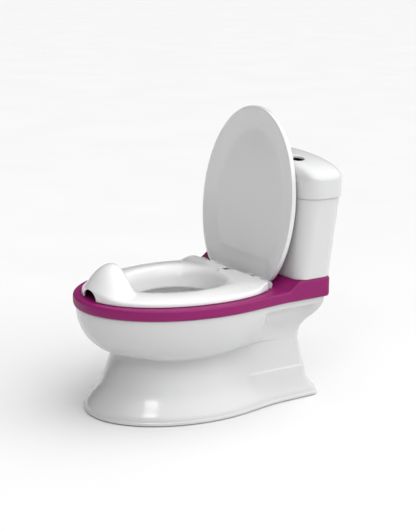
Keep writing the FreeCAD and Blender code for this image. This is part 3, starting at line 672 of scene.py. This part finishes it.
def tank_body():
    floor = TANK_LOW[2]
    loops = [tank_plan(floor, 30.0), tank_plan(floor, 12.0), tank_plan(floor, 1.6),
             tank_plan(floor + 0.3, 0.6), tank_plan(floor + 1.2, 0.1)]
    for share in (0.03, 0.15, 0.3, 0.45, 0.6, 0.75, 0.9, 0.98):
        loops.append(tank_plan(mix(floor, TANK_SPLIT, share), 0.0))
    shoulder, top = TANK_SPLIT, TANK_HIGH[2]
    loops += [tank_plan(shoulder - 0.9, 0.1), tank_plan(shoulder - 0.3, 0.5), tank_plan(shoulder - 0.05, 1.2),
              tank_plan(shoulder - 0.05, 5.0), tank_plan(shoulder + 0.3, 5.3), tank_plan(top - 0.5, 5.4),
              tank_plan(top, 5.9), tank_plan(top, 7.0), tank_plan(top - 0.5, 7.5)]
    for share in (0.9, 0.6, 0.3, 0.05):
        loops.append(tank_plan(mix(floor + 3.0, TANK_SPLIT, share), mix(3.0, 7.5, share)))
    loops += [tank_plan(floor + 3.2, 4.5), tank_plan(floor + 3.0, 8.0), tank_plan(floor + 3.0, 30.0)]
    skin("tank_body_skin", loops, "chair", "tank_white", "tank_body", ring=False)


tank_body()

CROWN_START = 371.0
CROWN_WALL = 5.5
CROWN_PLAN = (150.0, 123.6, 206.0, 31.0)
HOLE = (84.0, 148.0, 13.0)


def crown_plan(inset):
    half, front, rear, corner = CROWN_PLAN
    return rounded_rectangle(half - inset, front + inset, rear - inset, corner - inset)


def crown_height(x, y, inset, low, high):
    """The dome's height: elliptical from side to side and flatter from front to rear."""
    half, front, rear, corner = CROWN_PLAN
    across = min(abs(x) / (half - inset), 1.0)
    along = min(abs(y - 0.5 * (front + rear)) / (0.5 * (rear - front) - inset), 1.0)
    thin, thick = 0.0, 1.0
    for _ in range(40):
        share = 0.5 * (thin + thick)
        if (across / share ** 0.5) ** 7.0 + (along / share ** 0.25) ** 5.0 > 1.0:
            thin = share
        else:
            thick = share
    return mix(low, high, math.sqrt(max(0.0, 1.0 - thick)))


def crown_loops(inset, low, high, hole_radius):
    """Loops over the dome from its outline to the hole."""
    outline = crown_plan(inset)
    middle = 0.5 * (CROWN_PLAN[1] + CROWN_PLAN[2])
    loops = []
    count = 30
    for step in range(1, count + 1):
        share = 1.0 - math.cos(0.5 * math.pi * step / count)
        loop = []
        for x, y in outline:
            toward = Vector((x, y - middle)).normalized()
            end = (HOLE[0] + hole_radius * toward.x, HOLE[1] + hole_radius * toward.y)
            px, py = mix(x, end[0], share), mix(y, end[1], share)
            loop.append((px, py, crown_height(px, py, inset, low, high)))
        loops.append(loop)
    return loops


def tank_lid():
    floor = TANK_SPLIT
    wall = crown_plan(0.0)
    loops = [at(crown_plan(1.2), floor), at(crown_plan(0.5), floor + 0.15), at(crown_plan(0.1), floor + 0.7)]
    loops += [at(wall, floor + 1.6), at(wall, floor + 12.0), at(wall, floor + 22.0), at(wall, CROWN_START - 1.0)]
    loops += crown_loops(0.0, CROWN_START, CROWN_HIGH[2], HOLE[2] + 1.2)
    loops.append([(x + (HOLE[0] - x) * 0.05, y + (HOLE[1] - y) * 0.05, z - 0.25) for x, y, z in loops[-1]])
    rim = [(x + (HOLE[0] - x) * 0.04, y + (HOLE[1] - y) * 0.04, z - 0.9) for x, y, z in loops[-1]]
    loops.append(rim)
    loops.append([(x, y, z - 3.0) for x, y, z in rim])
    under = crown_loops(CROWN_WALL, CROWN_START - 2.0, CROWN_HIGH[2] - 4.0, HOLE[2])
    loops += list(reversed(under))
    inner = crown_plan(CROWN_WALL)
    loops += [at(inner, CROWN_START - 4.0), at(inner, floor + 6.0), at(inner, floor + 0.6),
              at(crown_plan(CROWN_WALL - 0.6), floor)]
    skin("tank_lid_skin", loops, "tank_lid", "tank_white", "tank_lid")


tank_lid()


# ------------------------------------------------------------------ inner pot

def inner_pot():
    outline = [oval_point(2.0 * math.pi * step / 128, *OPENING) for step in range(128)]

    def level(grow, height):
        return at(opening_like(outline, grow), height)

    floor, top = POT_LOW[2], POT_HIGH[2]
    depth = top - floor
    inside = [level(-60, floor + 2.5), level(-34, floor + 2.5), level(-25, floor + 3.2),
              level(-18.5, floor + 6.0), level(-14.0, floor + 0.12 * depth), level(-8.5, floor + 0.22 * depth),
              level(-2.8, floor + 0.42 * depth), level(1.0, floor + 0.66 * depth), level(3.4, top - 9.0),
              level(4.2, top - 3.0), level(4.9, top - 0.9), level(6.0, top - 0.15), level(7.5, top)]
    outside = [level(16.0, top), level(16.8, top - 0.4), level(17.0, top - 1.2), level(16.7, top - 2.2),
               level(15.8, top - 2.5), level(8.4, top - 2.5), level(7.0, top - 4.0),
               level(4.6, floor + 0.66 * depth), level(1.0, floor + 0.42 * depth),
               level(-5.0, floor + 0.22 * depth), level(-10.0, floor + 0.10 * depth),
               level(-15.0, floor + 4.0), level(-19.5, floor + 1.0), level(-26.0, floor), level(-60, floor)]
    skin("inner_pot_skin", inside + outside, "pot", "pot_white", "inner_pot", ring=False)


inner_pot()


# ------------------------------------------------------------------ floor, light and camera

def floor_material():
    material, tree, shader = new_material("studio_floor")
    cloud = noise(tree, 3.0, 2.0)
    tree.links.new(tinted(tree, cloud.outputs["Fac"], (0.76, 0.76, 0.76), (0.775, 0.775, 0.775)),
                   shader.inputs["Base Color"])
    shader.inputs["Roughness"].default_value = 0.9
    shader.inputs["Specular IOR Level"].default_value = 0.1
    return material


def studio_floor():
    """A wide flat floor. Its reach is in metres."""
    reach = 40.0
    mesh = bpy.data.meshes.new("studio_floor")
    corners = [(-reach, -reach, 0.0), (reach, -reach, 0.0), (reach, reach, 0.0), (-reach, reach, 0.0)]
    mesh.from_pydata(corners, [], [(0, 1, 2, 3)])
    mesh.materials.append(floor_material())
    floor = bpy.data.objects.new("studio_floor", mesh)
    bpy.context.scene.collection.objects.link(floor)


studio_floor()


def area_light(name, place, target, width, height, power):
    data = bpy.data.lights.new(name, "AREA")
    data.shape = "RECTANGLE"
    data.size = width
    data.size_y = height
    data.energy = power
    light = bpy.data.objects.new(name, data)
    light.location = place
    light.rotation_euler = (Vector(target) - Vector(place)).to_track_quat("-Z", "Y").to_euler()
    bpy.context.scene.collection.objects.link(light)


CENTRE = (0.0, 0.0, 0.2)
area_light("window", (1.6, -1.5, 2.2), CENTRE, 0.7, 0.5, 7.0)

SKY_AXIS = Vector((0.36, 0.30, 0.88)).normalized()
SKY_DIM, SKY_BRIGHT = 0.06, 2.30


def studio_sky():
    """A dome that is brightest overhead, towards the chair's right and rear. The camera sees white."""
    world = bpy.data.worlds.new("studio")
    bpy.context.scene.world = world
    world.use_nodes = True
    tree = world.node_tree
    dome = tree.nodes["Background"]
    backdrop = tree.nodes.new("ShaderNodeBackground")
    backdrop.inputs["Color"].default_value = (1.0, 1.0, 1.0, 1.0)
    coordinates = tree.nodes.new("ShaderNodeTexCoord")
    facing = tree.nodes.new("ShaderNodeVectorMath")
    facing.operation = "DOT_PRODUCT"
    facing.inputs[1].default_value = SKY_AXIS
    tree.links.new(coordinates.outputs["Generated"], facing.inputs[0])
    level = tree.nodes.new("ShaderNodeMapRange")
    level.interpolation_type = "SMOOTHSTEP"
    level.inputs["From Min"].default_value = 0.22
    level.inputs["From Max"].default_value = 1.0
    level.inputs["To Min"].default_value = SKY_DIM
    level.inputs["To Max"].default_value = SKY_BRIGHT
    tree.links.new(facing.outputs["Value"], level.inputs["Value"])
    tree.links.new(level.outputs["Result"], dome.inputs["Strength"])
    dome.inputs["Color"].default_value = (1.0, 1.0, 1.0, 1.0)
    path = tree.nodes.new("ShaderNodeLightPath")
    choice = tree.nodes.new("ShaderNodeMixShader")
    tree.links.new(path.outputs["Is Camera Ray"], choice.inputs["Fac"])
    tree.links.new(dome.outputs["Background"], choice.inputs[1])
    tree.links.new(backdrop.outputs["Background"], choice.inputs[2])
    tree.links.new(choice.outputs["Shader"], tree.nodes["World Output"].inputs["Surface"])


studio_sky()

bpy.context.scene.view_settings.view_transform = "Standard"

AZIMUTH, ELEVATION = math.radians(57.0), math.radians(14.1)
CAMERA_PLACE = (1.7171, -1.0835, 0.7332)
back = Vector((math.sin(AZIMUTH) * math.cos(ELEVATION), -math.cos(AZIMUTH) * math.cos(ELEVATION),
               math.sin(ELEVATION)))
right = Vector((math.cos(AZIMUTH), math.sin(AZIMUTH), 0.0))
up = back.cross(right)
camera_data = bpy.data.cameras.new("camera")
camera_data.lens = 86.02
camera_data.sensor_width = 36.0
camera = bpy.data.objects.new("camera", camera_data)
turn = Matrix((right, up, back)).transposed().to_4x4()
camera.matrix_world = Matrix.Translation(CAMERA_PLACE) @ turn
bpy.context.scene.collection.objects.link(camera)
bpy.context.scene.camera = camera
